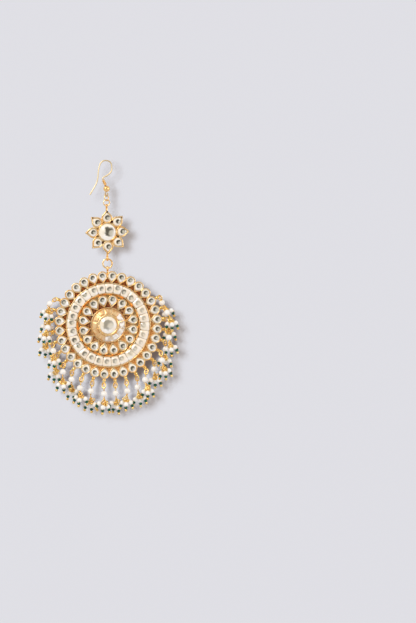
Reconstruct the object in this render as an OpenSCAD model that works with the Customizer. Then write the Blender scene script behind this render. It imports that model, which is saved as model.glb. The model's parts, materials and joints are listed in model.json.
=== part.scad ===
// Chandbali earring, hanging by the bend of its ear wire, with its face toward -Y.
// The origin is the inside top of the bend. All sizes are in millimetres.

/* [Ear wire] */
// Thickness of the ear wire
wire_d = 0.7; // [0.64:0.02:0.72]
// Thickness of the wire wound round the front leg
coil_wire_d = 0.44; // [0.36:0.02:0.46]
// Turns of the wound wire
coil_turns = 6; // [3:1:6]
// Diameter of the ball bead under the wound wire
bead_d = 3.24; // [2.8:0.04:3.24]

/* [Links] */
// Diameter of a small link, from wire middle to wire middle
link_d = 3; // [2.9:0.05:3.2]
// Thickness of a small link's wire
link_wire_d = 0.54; // [0.44:0.02:0.56]
// Turn of the upper small link about the vertical, from face on
hook_link_turn = 52; // [48:1:60]
// Diameter of the large ring, from wire middle to wire middle
ring_d = 4.6; // [4.4:0.1:5]
// Thickness of the large ring's wire
ring_wire_d = 0.76; // [0.6:0.02:0.8]
// Clearance between two links that hang in each other
link_play = 0.08; // [0.06:0.01:0.1]

/* [Flower] */
// Height of the flower's middle under the origin
flower_drop = 35.5; // [35.2:0.1:36]
// Turn of the petals against the line of the chain
flower_turn = 1.2; // [0:0.1:3]
// Number of petals
petal_count = 8; // [8]
// Width of a petal stone
petal_w = 3.95; // [3.8:0.05:4.1]
// Length of a petal stone, from round end to tip
petal_l = 4.8; // [4.6:0.1:5]
// Radius of the flower, to the tips of its collets
flower_r = 11.15; // [11:0.05:11.3]
// Diameter of the flower's middle stone
flower_stone_d = 8.4; // [8:0.1:8.5]

/* [Medallion] */
// Height of the medallion's middle under the origin
medallion_drop = 81.9; // [81.8:0.05:82]
// Turn of the medallion's stones against the line of the chain
medallion_turn = 0.3; // [0:0.1:1]
// Radius of the medallion, to the tops of its scallops
medallion_r = 27; // [26.8:0.1:27.2]
// Pear stones round the scalloped rim
outer_count = 32; // [32]
// Width of a pear stone on the rim
outer_w = 3.85; // [3.6:0.05:3.95]
// Length of a pear stone on the rim
outer_l = 4.5; // [4.3:0.1:4.8]
// Pear stones round the boss
inner_count = 16; // [16]
// Width of a pear stone round the boss
inner_w = 3.75; // [3.5:0.05:3.9]
// Length of a pear stone round the boss
inner_l = 4.6; // [4.3:0.1:4.8]
// Square stones in the raised channel
channel_count = 28; // [28]
// Sloping stones round the boss
collar_count = 12; // [10:1:14]
// Diameter of the stone on the boss
centre_stone_d = 8.7; // [8.3:0.1:8.8]
// Thickness of the base plate
plate_t = 1.4; // [1.2:0.1:1.6]

/* [Bead drops] */
// Diameter of the pearl on each drop
pearl_d = 3; // [2.6:0.1:3]
// Diameter of the small pearls at the end of each drop
small_pearl_d = 2.34; // [2:0.02:2.34]
// Thickness of the drops' wire
drop_wire_d = 0.34; // [0.26:0.02:0.36]
// Diameter of the hub that gathers the strands
hub_d = 1.2; // [1:0.1:1.3]
// Distance from a hub to its small pearls
strand_l = 2.65; // [2.65:0.05:2.8]

/* [Hidden] */

$fn = 32;
seat = 0.05;                       // gap between a stone and its pocket
bite = 0.3;                        // overlap of soldered pieces
wire_r = wire_d / 2;
link_r = link_d / 2;
link_wire_r = link_wire_d / 2;
ring_r = ring_d / 2;
ring_wire_r = ring_wire_d / 2;

// Ear wire: points of its middle line in the plane of the hook, from the tail to the bead [x, z]
hook_line = [
    [-8.2, -16.6], [-7, -14.6], [-5.7, -12.5], [-4.7, -10.4], [-4.15, -8.1], [-3.9, -5.7],
    [-3.55, -3.4], [-2.75, -1.1], [-1.4, 0.15], [0.1, 0.36], [1.55, -0.05], [2.55, -1.15],
    [2.9, -3.1], [2.65, -5], [1.75, -6.15], [0.3, -7.2], [-1, -7.85], [-1.7, -8.55],
    [-1.62, -9.1], [-0.93, -10.6], [-0.24, -12.1], [0.02, -12.7], [0.12, -13.5], [0.1, -14.3],
    [0.02, -14.9]
];
coil_top = [-1.5, 0, -9.35];
coil_end = [-0.3, 0, -11.97];
bead_at = [0.12, 0, -13.8];
bead_bore_d = 1.4;
eye_r = 0.9;
eye_z = -16.62;
eye_turn = hook_link_turn - 90;

// Heights of the links, each hanging in the one above
hook_link_z = eye_z - eye_r + wire_r + link_play + link_wire_r - link_r;
drop_link_z = hook_link_z - link_r + 2 * link_wire_r + link_play - link_r;
loop_wire_r = 0.28;
flower_loop_r = 0.82;
flower_loop_z = drop_link_z - link_r + link_wire_r + link_play + loop_wire_r - flower_loop_r;
lower_loop_wire_r = 0.31;
lower_loop_r = 1.08;
lower_loop_z = -48.55;
ring_z = lower_loop_z - lower_loop_r + lower_loop_wire_r + link_play + ring_wire_r - ring_r;
tab_loop_r = 0.92;
tab_loop_z = ring_z - ring_r + ring_wire_r + link_play + lower_loop_wire_r - tab_loop_r;

table_part = 0.6;                  // width of a stone's table, as a part of its girdle
through = 4;                       // height of a cutter that runs out past the face

// Flower: radii from its middle and heights toward the face
flower_x = 0.25;
flower_y = 0.06;
petal_wall = 0.75;
petal_ring_r = 7;                  // middle of a petal's round end
flower_collet_r = 4.66;
flower_back = -0.95;
flower_floor = 0.5;
flower_rim = 1.1;
petal_girdle = 1;
petal_table = 1.65;
middle_floor = 0.7;
middle_rim = 1.75;
middle_girdle = 1.6;
middle_table = 2.5;

// Medallion: radii from its middle and heights toward the face
medallion_y = -0.05;
pear_wall = 0.52;
pear_floor = 0.35;
pear_rim = 1.1;
pear_girdle = 1;
pear_table = 1.6;
collet_back = 0.3 - plate_t;       // back of the outer collets, a step in front of the plate's
outer_ring_r = medallion_r - outer_w / 2 - pear_wall;
inner_ring_r = 12.75;
outer_tip_r = 20.9;                // inner point of an outer collet
inner_tip_r = 8.7;                 // inner point of an inner collet
channel_in = 15.95;
channel_out = 20.75;
channel_wall = 0.4;
channel_floor = 0.9;
channel_rim = 1.85;
channel_girdle = 1.75;
channel_table = 2.2;
channel_lead = -3;                 // turn of the square stones against the pears
collar_in = 5.3;
collar_out = 8.4;
collar_low = 0.75;
collar_high = 2.45;
boss_rim = 3.2;
boss_floor = 1.95;
boss_girdle = 3.1;
boss_table = 3.95;
plate_r = 24.4;
neck_r = 0.5;                      // post between a loop and the piece that it is soldered to
neck_bite = 0.9;                   // length of a post inside that piece
upper_neck_z = flower_r - flower_drop - neck_bite;
lower_neck_z = neck_bite - flower_r - flower_drop;
tab_neck_z = medallion_r - medallion_drop - 2 * neck_bite;

// Pegs and bead drops
peg_r = 0.45;
peg_end = 28.35;
eyelet_r = 0.55;
eyelet_wire_r = 0.2;
eyelet_at = 28.8;
peg_height = -0.15;
drop_loop_r = 0.62;
drop_wire_r = drop_wire_d / 2;
pearl_bore_d = 0.5;
stem_r = drop_wire_r - 0.03;
knee_r = 0.3;
tip_r = 0.3;
strand_end = strand_l + small_pearl_d / 2 + tip_r;
hang_at = eyelet_at + eyelet_r;    // the eyelet's far wire, on which a drop hangs

// Bead drops, one row each: side of the medallion (-1 left), step from the lowest peg, offset of the
// pearl from its peg [x, z], offset of the hub from the pearl [x, z], swing of the three strands from
// straight down, in degrees toward +X
drops = [
    [-1, 0, 0.1, -5.1, 0, -4.5, -84, -15, 42],
    [-1, 1, -0.9, -4.8, -0.1, -5.2, -56, 2, 52],
    [-1, 2, -1, -5.3, 0.6, -3.8, -72, -21, 51],
    [-1, 3, -0.4, -4.1, 0.3, -5, -40, 12, 64],
    [-1, 4, -0.5, -4.3, 0, -5, -56, 10, 70],
    [-1, 5, -0.3, -4.3, -0.7, -4.8, -68, -19, 30],
    [-1, 6, 0.4, -3.8, 0.3, -3.6, -46, 4, 58],
    [-1, 7, -0.8, -3.9, -1.6, -3.4, -56, -8, 42],
    [-1, 8, -1, -3.5, -1.2, -3.1, -62, -14, 36],
    [-1, 9, -0.8, -3.7, -1.5, -3.7, -64, -12, 42],
    [-1, 10, -3, -2.6, -0.6, -3.8, -84, -30, 22],
    [1, 0, 0.1, -5, 0.4, -4.7, -86, -36, 16],
    [1, 1, 0.3, -5, -0.5, -4.3, -54, -4, 54],
    [1, 2, 0.1, -5.5, 0.7, -4.4, -50, 12, 68],
    [1, 3, -0.8, -5, 1.1, -4.2, -48, 4, 54],
    [1, 4, -0.2, -3.9, 0.3, -4, -52, 0, 52],
    [1, 5, 0.7, -4.3, 0.9, -4.2, -36, 16, 68],
    [1, 6, 0.4, -4.1, -0.4, -4.3, -62, -4, 52],
    [1, 7, 0.9, -4, 0.7, -3.8, -40, 12, 66],
    [1, 8, 0.4, -3.3, 0.7, -3.3, -50, 4, 56],
    [1, 9, 1.4, -2.9, 2.2, -3.7, -46, 6, 54],
    [1, 10, 1.1, -3.2, 2, -3.5, -22, 26, 78]
];
side_step = 5;
outer_lean = 12;                   // how far the side strands lean toward the other layer
inner_lean = 28;                   // how far the middle strand leans away from it

function unit(v) = v / norm(v);
function flat_to_space(p) = [p[0], 0, p[1]];

// Smooth curve through a list of points, with the same number of steps between neighbours
function catmull(a, b, c, d, t) =
    (2 * b + (c - a) * t + (2 * a - 5 * b + 4 * c - d) * t * t + (3 * b - a - 3 * c + d) * t * t * t) / 2;
function smooth(p, steps) = concat(
    [for (i = [0 : len(p) - 2], k = [0 : steps - 1])
        catmull(p[max(i - 1, 0)], p[i], p[i + 1], p[min(i + 2, len(p) - 1)], k / steps)],
    [p[len(p) - 1]]
);
function heading(p, i) = unit(p[min(i + 1, len(p) - 1)] - p[max(i - 1, 0)]);
function square_to(v, along) = unit(v - (v * along) * along);
// A direction square to the path, carried along it without twist
function carried(p, start) = [
    for (i = 0, n = square_to(start, heading(p, 0)); i < len(p);
         i = i + 1, n = square_to(n, heading(p, min(i, len(p) - 1)))) n
];

// Round wire of radius r along a path
module tube(p, r, sides, start) {
    side = carried(p, start);
    rings = [for (i = [0 : len(p) - 1], k = [0 : sides - 1])
        let (a = 360 * k / sides, n = side[i], b = cross(heading(p, i), n))
        p[i] + r * (cos(a) * n + sin(a) * b)];
    last = (len(p) - 1) * sides;
    walls = [for (i = [0 : len(p) - 2], k = [0 : sides - 1])
        let (j = (k + 1) % sides, a = i * sides, b = a + sides)
        for (face = [[a + k, b + k, b + j], [a + k, b + j, a + j]]) face];
    ends = [
        [for (k = [0 : sides - 1]) k],
        [for (k = [sides - 1 : -1 : 0]) last + k]
    ];
    polyhedron(rings, concat(walls, ends));
}

// Ring with its axis along Z
module ring(r, wire) {
    rotate_extrude($fn = 48)
        translate([r, 0])
            circle(wire, $fn = 20);
}

// Rod between two points
module rod(a, b, r) {
    v = b - a;
    translate(a)
        rotate([0, acos(v[2] / norm(v)), atan2(v[1], v[0])])
            cylinder(h = norm(v), r = r, $fn = 16);
}

// Turns a piece that lies face up, with its top along +Y, to face -Y and stand upright
module face_front() {
    rotate([90, 0, 0])
        children();
}

// Outline of a pear shape with its point at [0, -reach] and its round end about the origin
function pear(r, reach, steps) =
    let (open = acos(r / reach))
    concat(
        [for (k = [0 : steps]) let (a = 270 + open + (360 - 2 * open) * k / steps) r * [cos(a), sin(a)]],
        [[0, -reach]]
    );

// Outline of a four-sided stone between two radii about the origin, with its corners cut
function wedge(r_in, r_out, half_in, half_out, corner) = [
    [-half_in + corner, r_in], [half_in - corner, r_in], [half_in, r_in + corner],
    [half_out, r_out - corner], [half_out - corner, r_out], [-half_out + corner, r_out],
    [-half_out, r_out - corner], [-half_in, r_in + corner]
];

function middle_of(p) = [for (i = [0, 1]) sum([for (q = p) q[i]]) / len(p)];
function sum(v, i = 0) = i < len(v) ? v[i] + sum(v, i + 1) : 0;

// Cut stone on an anticlockwise outline: flat back, girdle, sloping facets and a table
module cut_stone(outline, back, girdle, table) {
    n = len(outline);
    c = middle_of(outline);
    levels = [[1, back], [1, girdle], [table_part, table]];
    points = [for (l = levels, q = outline) let (f = c + l[0] * (q - c)) [f[0], f[1], l[1]]];
    walls = [for (l = [0, 1], k = [0 : n - 1])
        let (j = (k + 1) % n) [(l + 1) * n + k, (l + 1) * n + j, l * n + j, l * n + k]];
    ends = [
        [for (k = [0 : n - 1]) k],
        [for (k = [n - 1 : -1 : 0]) 2 * n + k]
    ];
    polyhedron(points, concat(walls, ends));
}

function circle_outline(r, steps) =
    [for (k = [0 : steps - 1]) let (a = 360 * k / steps) r * [cos(a), sin(a)]];

// Places a piece n times about the middle, round ends outward
module around(n, r, start) {
    for (i = [0 : n - 1])
        rotate(start + 360 * i / n)
            translate([0, r, 0])
                children();
}

module ear_wire() {
    eye = [for (a = [140 : 15 : 410])
        [eye_r * cos(a) * cos(eye_turn), eye_r * cos(a) * sin(eye_turn), eye_z + eye_r * sin(a)]];
    path = concat(smooth([for (p = hook_line) flat_to_space(p)], 3), eye);
    color("gold")
        tube(path, wire_r, 8, [0, 1, 0]);
}

module wire_coil() {
    axis = unit(coil_end - coil_top);
    across = [0, 1, 0];
    third = cross(axis, across);
    r = wire_r + seat + coil_wire_d / 2;
    steps = coil_turns * 12;
    path = [for (k = [0 : steps])
        coil_top + (coil_end - coil_top) * k / steps + r * (cos(30 * k) * across + sin(30 * k) * third)];
    color("gold")
        tube(path, coil_wire_d / 2 - 0.02, 6, axis);
}

module wire_bead() {
    color("gold")
        translate(bead_at)
            difference() {
                sphere(d = bead_d, $fn = 64);
                cylinder(h = 2 * bead_d, d = bead_bore_d, center = true, $fn = 48);
            }
}

module hook_link() {
    color("gold")
        translate([0, 0, hook_link_z])
            rotate(hook_link_turn)
                face_front()
                    ring(link_r, link_wire_r);
}

module drop_link() {
    color("gold")
        translate([0, 0, drop_link_z])
            face_front()
                ring(link_r, link_wire_r);
}

// Loop of two turns, seen edge on, with a neck below or above it
module double_loop(z, r, wire, neck_r, neck_to) {
    for (side = [-1, 1])
        translate([side * 0.8 * wire, 0, z])
            rotate([0, 90, 0])
                ring(r, wire);
    rod([0, 0, z + sign(neck_to - z) * r], [0, 0, neck_to], neck_r);
}

module petal_outline(grow) {
    r = petal_w / 2 + grow;
    reach = grow > seat ? flower_r - petal_ring_r : petal_l - petal_w / 2 + grow;
    polygon(pear(r, reach, 12));
}

// Places a piece on petal i, with its point outward
module on_petal(i) {
    translate([flower_x, flower_y, -flower_drop])
        face_front()
            rotate(flower_turn - 360 * (i - 1) / petal_count)
                translate([0, petal_ring_r, 0])
                    rotate(180)
                        children();
}

module flower_setting() {
    color("goldenrod")
        difference() {
            union() {
                translate([flower_x, flower_y, -flower_drop])
                    face_front()
                        translate([0, 0, flower_back])
                            cylinder(h = middle_rim - flower_back, r = flower_collet_r, $fn = 64);
                for (i = [1 : petal_count])
                    on_petal(i)
                        translate([0, 0, flower_back])
                            linear_extrude(flower_rim - flower_back)
                                petal_outline(petal_wall);
                double_loop(flower_loop_z, flower_loop_r, loop_wire_r, neck_r, upper_neck_z);
                double_loop(lower_loop_z, lower_loop_r, lower_loop_wire_r, neck_r, lower_neck_z);
            }
            translate([flower_x, flower_y, -flower_drop])
                face_front()
                    translate([0, 0, middle_floor])
                        cylinder(h = through, d = flower_stone_d + 2 * seat, $fn = 64);
            for (i = [1 : petal_count])
                on_petal(i)
                    translate([0, 0, flower_floor])
                        linear_extrude(through)
                            petal_outline(seat);
        }
}

module flower_stone() {
    color("ivory")
        translate([flower_x, flower_y, -flower_drop])
            face_front()
                cut_stone(
                    circle_outline(flower_stone_d / 2, 16),
                    middle_floor + seat, middle_girdle, middle_table
                );
}

module petal_stone(i) {
    color("ivory")
        on_petal(i)
            cut_stone(
                pear(petal_w / 2, petal_l - petal_w / 2, 12),
                flower_floor + seat, petal_girdle, petal_table
            );
}

module pendant_ring() {
    color("gold")
        translate([0, 0, ring_z])
            face_front()
                ring(ring_r, ring_wire_r);
}

// Places a flat piece on the medallion
module on_medallion() {
    translate([0, medallion_y, -medallion_drop])
        face_front()
            children();
}

// Half section of the turned body: plate, channel walls, sloping collar and boss
module medallion_section() {
    polygon([
        [0, -plate_t], [plate_r - 0.8, -plate_t], [plate_r, 0.5 - plate_t], [plate_r, 0],
        [channel_out + channel_wall, 0], [channel_out + channel_wall, channel_rim],
        [channel_out, channel_rim], [channel_out, channel_floor], [channel_in, channel_floor],
        [channel_in, channel_rim], [channel_in - 0.3, channel_rim], [channel_in - 0.9, 0],
        [collar_out + 0.5, 0], [collar_out + 0.4, 1.05], [collar_out, 1.05],
        [collar_out, collar_low], [collar_in, collar_high], [collar_in, boss_rim],
        [centre_stone_d / 2 + seat, boss_rim], [centre_stone_d / 2 + seat, boss_floor], [0, boss_floor]
    ]);
}

function outer_start() = medallion_turn + 180 / outer_count;
function peg_angle(side, step) =
    270 + medallion_turn + side * (180 / outer_count + 360 * step / outer_count);

module peg(angle) {
    rotate(angle)
        translate([0, 0, peg_height])
            union() {
                rod([medallion_r - pear_wall / 2 - bite, 0, 0], [peg_end, 0, 0], peg_r);
                translate([eyelet_at, 0, 0])
                    rotate([90, 0, 0])
                        ring(eyelet_r, eyelet_wire_r);
            }
}

module medallion_setting() {
    color("goldenrod") {
        difference() {
            union() {
                on_medallion()
                    rotate_extrude($fn = 128)
                        medallion_section();
                on_medallion()
                    around(outer_count, outer_ring_r, outer_start())
                        translate([0, 0, collet_back])
                            linear_extrude(pear_rim - collet_back)
                                polygon(pear(outer_w / 2 + pear_wall, outer_ring_r - outer_tip_r, 12));
                on_medallion()
                    around(inner_count, inner_ring_r, medallion_turn + 180 / inner_count)
                        translate([0, 0, -bite])
                            linear_extrude(pear_rim + bite)
                                polygon(pear(inner_w / 2 + pear_wall, inner_ring_r - inner_tip_r, 12));
                on_medallion()
                    for (d = drops)
                        peg(peg_angle(d[0], d[1]));
                double_loop(tab_loop_z, tab_loop_r, lower_loop_wire_r, neck_r, tab_neck_z);
            }
            on_medallion()
                around(outer_count, outer_ring_r, outer_start())
                    translate([0, 0, pear_floor])
                        linear_extrude(through)
                            polygon(pear(outer_w / 2 + seat, outer_l - outer_w / 2 + seat, 12));
            on_medallion()
                around(inner_count, inner_ring_r, medallion_turn + 180 / inner_count)
                    translate([0, 0, pear_floor])
                        linear_extrude(through)
                            polygon(pear(inner_w / 2 + seat, inner_l - inner_w / 2 + seat, 12));
        }
    }
}

module centre_stone() {
    color("ivory")
        on_medallion()
            cut_stone(circle_outline(centre_stone_d / 2, 16), boss_floor + seat, boss_girdle, boss_table);
}

module collar_stones() {
    slope = atan2(collar_high - collar_low, collar_out - collar_in);
    low = collar_in + 0.2;
    high = collar_out - 0.37;
    mid = (low + high) / 2;
    mid_z = collar_low + (collar_out - mid) * tan(slope);
    half = (high - low) / 2 / cos(slope);
    gap_half = 0.11;
    corner = 0.3;
    back = 0.08;
    spread = tan(180 / collar_count);
    color("wheat")
        on_medallion()
            around(collar_count, mid, medallion_turn)
                translate([0, 0, mid_z])
                    rotate([-slope, 0, 0])
                        cut_stone(
                            wedge(-half, half, low * spread - gap_half, high * spread - gap_half, corner),
                            back, back + 0.2, back + 0.42
                        );
}

module inner_stones() {
    color("ivory")
        on_medallion()
            around(inner_count, inner_ring_r, medallion_turn + 180 / inner_count)
                cut_stone(
                    pear(inner_w / 2, inner_l - inner_w / 2, 10),
                    pear_floor + seat, pear_girdle, pear_table
                );
}

module channel_stones() {
    spread = tan(180 / channel_count);
    gap_half = 0.08;
    corner = 0.45;
    low = channel_in + 0.12;
    high = channel_out - 0.2;
    color("ivory")
        on_medallion()
            around(channel_count, 0, medallion_turn + channel_lead)
                cut_stone(
                    wedge(low, high, low * spread - gap_half, high * spread - gap_half, corner),
                    channel_floor + seat, channel_girdle, channel_table
                );
}

module outer_stones() {
    color("ivory")
        on_medallion()
            around(outer_count, outer_ring_r, outer_start())
                cut_stone(
                    pear(outer_w / 2, outer_l - outer_w / 2, 10),
                    pear_floor + seat, pear_girdle, pear_table
                );
}

// Places on a drop, measured from the middle of the medallion. Neighbouring drops lie in two layers, so
// that they pass each other, and the drops from side_step on stand further apart.
function layer(d) = (d[1] % 2 == 0 ? 1 : -1) * d[0];
function peg_point(d) = let (a = peg_angle(d[0], d[1])) [hang_at * cos(a), -peg_height, hang_at * sin(a)];
function pearl_point(d) =
    let (p = peg_point(d)) [p[0] + d[2], layer(d) * (d[1] < side_step ? 0.9 : 1.5), p[2] + d[3]];
function hub_point(d) =
    let (p = pearl_point(d)) [p[0] + d[4], layer(d) * (d[1] < side_step ? 1.4 : 2.2), p[2] + d[5]];
function strand_heading(d, k) =
    let (s = d[6 + k], t = layer(d) * (k == 1 ? inner_lean : -outer_lean))
    [sin(s) * cos(t), sin(t), -cos(s) * cos(t)];
function loop_middle(d) =
    peg_point(d) + [0, 0, eyelet_wire_r + seat + drop_wire_r - drop_loop_r];
function stem_start(d) =
    let (loop = loop_middle(d), v = pearl_point(d) - loop)
    loop + drop_loop_r * unit([v[0], 0, v[2]]);
function stem_heading(d) = unit(pearl_point(d) - stem_start(d));

module on_drops() {
    translate([0, medallion_y, -medallion_drop])
        children();
}

// Wire from a to b with a ball on its end, turned in one about its own line
module ball_ended(a, b, r, ball_r) {
    v = b - a;
    reach = norm(v);
    translate(a)
        rotate([0, acos(v[2] / reach), atan2(v[1], v[0])])
            rotate_extrude($fn = 32)
                intersection() {
                    union() {
                        square([r, reach]);
                        translate([0, reach])
                            circle(ball_r, $fn = 32);
                    }
                    square([ball_r, reach + ball_r]);
                }
}

module drop_wire(d) {
    hub = hub_point(d);
    knee = pearl_point(d) + (pearl_d / 2 + knee_r) * stem_heading(d);
    union() {
        translate(loop_middle(d))
            face_front()
                ring(drop_loop_r, drop_wire_r);
        ball_ended(stem_start(d), knee, stem_r, knee_r);
        ball_ended(knee + knee_r / 2 * unit(hub - knee), hub, stem_r, hub_d / 2);
        for (k = [0 : 2])
            let (v = strand_heading(d, k))
                ball_ended(hub + hub_d / 4 * v, hub + strand_end * v, stem_r, tip_r);
    }
}

module drop_wires() {
    color("gold")
        on_drops()
            for (d = drops)
                drop_wire(d);
}

// Pearl drilled along a direction, turned from half a disc with the bore cut away
module pearl(at, along, d, bore) {
    translate(at)
        rotate([0, acos(along[2]), atan2(along[1], along[0])])
            rotate_extrude($fn = 48)
                intersection() {
                    circle(d = d, $fn = 48);
                    translate([bore / 2, -d])
                        square([d, 2 * d]);
                }
}

module drop_pearl(i) {
    d = drops[i - 1];
    color("white")
        on_drops()
            pearl(pearl_point(d), stem_heading(d), pearl_d, pearl_bore_d);
}

module cluster_pearls() {
    color("white")
        on_drops()
            for (d = drops, k = [0 : 2])
                let (v = strand_heading(d, k))
                    pearl(hub_point(d) + strand_l * v, v, small_pearl_d, pearl_bore_d);
}

ear_wire();
wire_coil();
wire_bead();
hook_link();
drop_link();
flower_setting();
flower_stone();
for (i = [1 : petal_count])
    petal_stone(i);
pendant_ring();
medallion_setting();
centre_stone();
collar_stones();
inner_stones();
channel_stones();
outer_stones();
drop_wires();
cluster_pearls();
for (i = [1 : len(drops)])
    drop_pearl(i);
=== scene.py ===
import bpy
import json
import math
import random
from mathutils import Euler, Matrix, Vector

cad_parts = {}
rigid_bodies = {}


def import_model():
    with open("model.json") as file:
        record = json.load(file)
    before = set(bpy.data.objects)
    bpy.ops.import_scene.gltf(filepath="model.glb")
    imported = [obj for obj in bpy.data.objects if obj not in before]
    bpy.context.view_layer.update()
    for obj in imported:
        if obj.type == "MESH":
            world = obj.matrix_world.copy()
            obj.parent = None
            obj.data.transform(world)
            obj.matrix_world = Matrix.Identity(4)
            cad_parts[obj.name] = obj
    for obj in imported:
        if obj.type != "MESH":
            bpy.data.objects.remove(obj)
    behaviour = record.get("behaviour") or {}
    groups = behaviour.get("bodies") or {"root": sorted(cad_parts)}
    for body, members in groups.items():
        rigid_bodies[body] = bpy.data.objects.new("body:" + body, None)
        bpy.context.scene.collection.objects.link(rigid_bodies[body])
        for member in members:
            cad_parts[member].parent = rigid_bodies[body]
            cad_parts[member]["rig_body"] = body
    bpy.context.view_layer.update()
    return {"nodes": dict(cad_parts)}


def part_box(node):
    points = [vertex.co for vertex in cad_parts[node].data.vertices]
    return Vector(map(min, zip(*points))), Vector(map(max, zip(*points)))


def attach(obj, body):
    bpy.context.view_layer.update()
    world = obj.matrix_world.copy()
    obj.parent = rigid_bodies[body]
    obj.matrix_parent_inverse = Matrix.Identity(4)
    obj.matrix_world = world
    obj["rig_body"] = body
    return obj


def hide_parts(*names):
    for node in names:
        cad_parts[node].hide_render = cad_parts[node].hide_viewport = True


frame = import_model()
mm = 0.001
scene = bpy.context.scene
print("frame loaded:", len(frame["nodes"]), "nodes")

# Camera, the pale room and the lights
cameraSetup = {
    "distance": 1.1,              # from the lens to the plane of the earring
    "frameHeight": 0.3115,        # what the picture's long side covers there
    "middle": (0.0499, -0.0759),  # x and z of the picture's middle
    "roll": 0.874,                # degrees
}
roomSetup = {
    "radius": 2.4,
    "paint": [(0.120, 0.099, 0.089, 1), (0.123, 0.1035, 0.0935, 1)],
    "air": (0.72, 0.72, 0.74, 1),  # even light from all round
    # A lamp's shadow has its shift (x, z) and softness on the picture, in mm, and the bodies that cast
    # it, which are all of them where none is named
    "lamps": [
        {
            "shift": (2.7, -3.0), "soft": 0.8, "power": 520, "tint": (0.830, 0.975, 1.060),
            "casts": ["medallion"], "noBeads": True,
        },
        {
            "shift": (3.7, -2.3), "soft": 2.2, "power": 800, "tint": (0.7175, 0.956, 1.221),
            "casts": [], "noBeads": False,
        },
        {
            "shift": (4.6, -2.2), "soft": 3.6, "power": 120, "tint": (0.710, 0.971, 1.303),
            "casts": [], "noBeads": False,
        },
        {
            "shift": (1.0, -1.0), "soft": 3.0, "power": 100, "tint": (1.250, 0.900, 0.690),
            "casts": ["link"], "noBeads": False,
        },
    ],
    "smallBeads": [               # left out of the shadow of a lamp with noBeads
        "cluster_pearls", "greenBeads", "goldSeeds", "bunchLoops", "wireWraps", "strandCaps",
    ],
    "darkPanel": {
        "radius": 0.36, "behind": 0.3, "cloth": [(0.085, 0.060, 0.040, 1), (0.02, 0.014, 0.01, 1)],
    },
}
softLights = [
    {
        "name": "keyLight", "at": (-0.60, -0.80, 0.50), "size": 0.44,
        "power": 4.9, "tint": (1, 0.985, 0.96),
    },
    {
        "name": "sideLight", "at": (0.85, -0.42, 0.1), "size": 0.40,
        "power": 1.8, "tint": (1, 0.97, 0.93),
    },
]
lightsAim = Vector((0, 0, -0.075))


def makeCamera(setup):
    x, z = setup["middle"]
    bpy.ops.object.camera_add(
        location=(x, -setup["distance"], z),
        rotation=(math.pi / 2, math.radians(setup["roll"]), 0),
    )
    camera = bpy.context.object
    camera.name = "mainCamera"
    camera.data.sensor_width = 36
    camera.data.lens = 36 * setup["distance"] / setup["frameHeight"]
    camera.data.clip_start = 0.01
    scene.camera = camera
    return camera


def lightOnly(lamp, target, state):
    # INCLUDE lets a lamp light the target alone, EXCLUDE everything but the target
    group = bpy.data.collections.new(lamp.name + "Receivers")
    group.objects.link(target)
    lamp.light_linking.receiver_collection = group
    for entry in group.collection_objects:
        entry.light_linking.link_state = state


def makeRoom(setup, camera):
    bpy.ops.mesh.primitive_uv_sphere_add(
        segments=96, ring_count=48, radius=setup["radius"], location=camera.location
    )
    room = bpy.context.object
    room.name = "paleRoom"
    bpy.ops.object.mode_set(mode="EDIT")
    bpy.ops.mesh.flip_normals()
    bpy.ops.object.mode_set(mode="OBJECT")
    bpy.ops.object.shade_smooth()
    paint = Finish("roomPaint")
    grain = paint.node("ShaderNodeTexNoise", {}, {"Scale": 0.7, "Detail": 1})
    paint.shader({
        "Base Color": paint.mix(grain, *setup["paint"]),
        "Roughness": 0.9,
        "Specular IOR Level": 0.0,
    })
    room.data.materials.append(paint.material)
    gap = setup["radius"] - cameraSetup["distance"]
    spread = gap / setup["radius"]        # a lamp's offset from the lens, as it shows on the picture
    for number, lamp in enumerate(setup["lamps"]):
        shiftX, shiftZ = lamp["shift"]
        offset = Vector((-shiftX, 0, -shiftZ)) * mm / spread
        bpy.ops.object.light_add(type="POINT", location=camera.location + offset)
        made = bpy.context.object
        made.name = "roomLamp" + str(number + 1)
        made.data.energy = lamp["power"]
        made.data.color = lamp["tint"]
        made.data.shadow_soft_size = lamp["soft"] * mm / spread
        made["casts"] = lamp["casts"]
        made["noBeads"] = lamp["noBeads"]
        lightOnly(made, room, "INCLUDE")
    return room


def chooseShadows():                      # a lamp's shadow comes from the bodies it names, or from all
    for lamp in [thing for thing in scene.objects if thing.type == "LIGHT" and thing.get("casts")]:
        group = bpy.data.collections.new(lamp.name + "Blockers")
        skipped = roomSetup["smallBeads"] if lamp["noBeads"] else []
        for thing in scene.objects:
            onBody = thing.type == "MESH" and thing.get("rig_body") in list(lamp["casts"])
            if onBody and thing.name not in skipped:
                group.objects.link(thing)
        lamp.light_linking.blocker_collection = group


def makeDarkPanel(setup, camera):         # stands behind the lens, seen in the metal and stones alone
    bpy.ops.mesh.primitive_circle_add(
        vertices=64, radius=setup["radius"], fill_type="NGON", rotation=(math.pi / 2, 0, 0),
        location=camera.location - Vector((0, setup["behind"], 0))
    )
    panel = bpy.context.object
    panel.name = "darkPanel"
    paint = Finish("panelCloth")
    weave = paint.noise(40, 1)
    paint.shader({"Base Color": paint.mix(weave, *setup["cloth"]), "Roughness": 0.9})
    panel.data.materials.append(paint.material)
    panel.visible_camera = False
    panel.visible_diffuse = False
    panel.visible_shadow = False


def makeSoftLights(room):
    for light in softLights:
        bpy.ops.object.light_add(type="AREA", location=light["at"])
        made = bpy.context.object
        made.name = light["name"]
        made.data.shape = "DISK"
        made.data.size = light["size"]
        made.data.energy = light["power"]
        made.data.color = light["tint"]
        made.rotation_euler = (lightsAim - made.location).to_track_quat("-Z", "Y").to_euler()
        lightOnly(made, room, "EXCLUDE")


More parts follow.
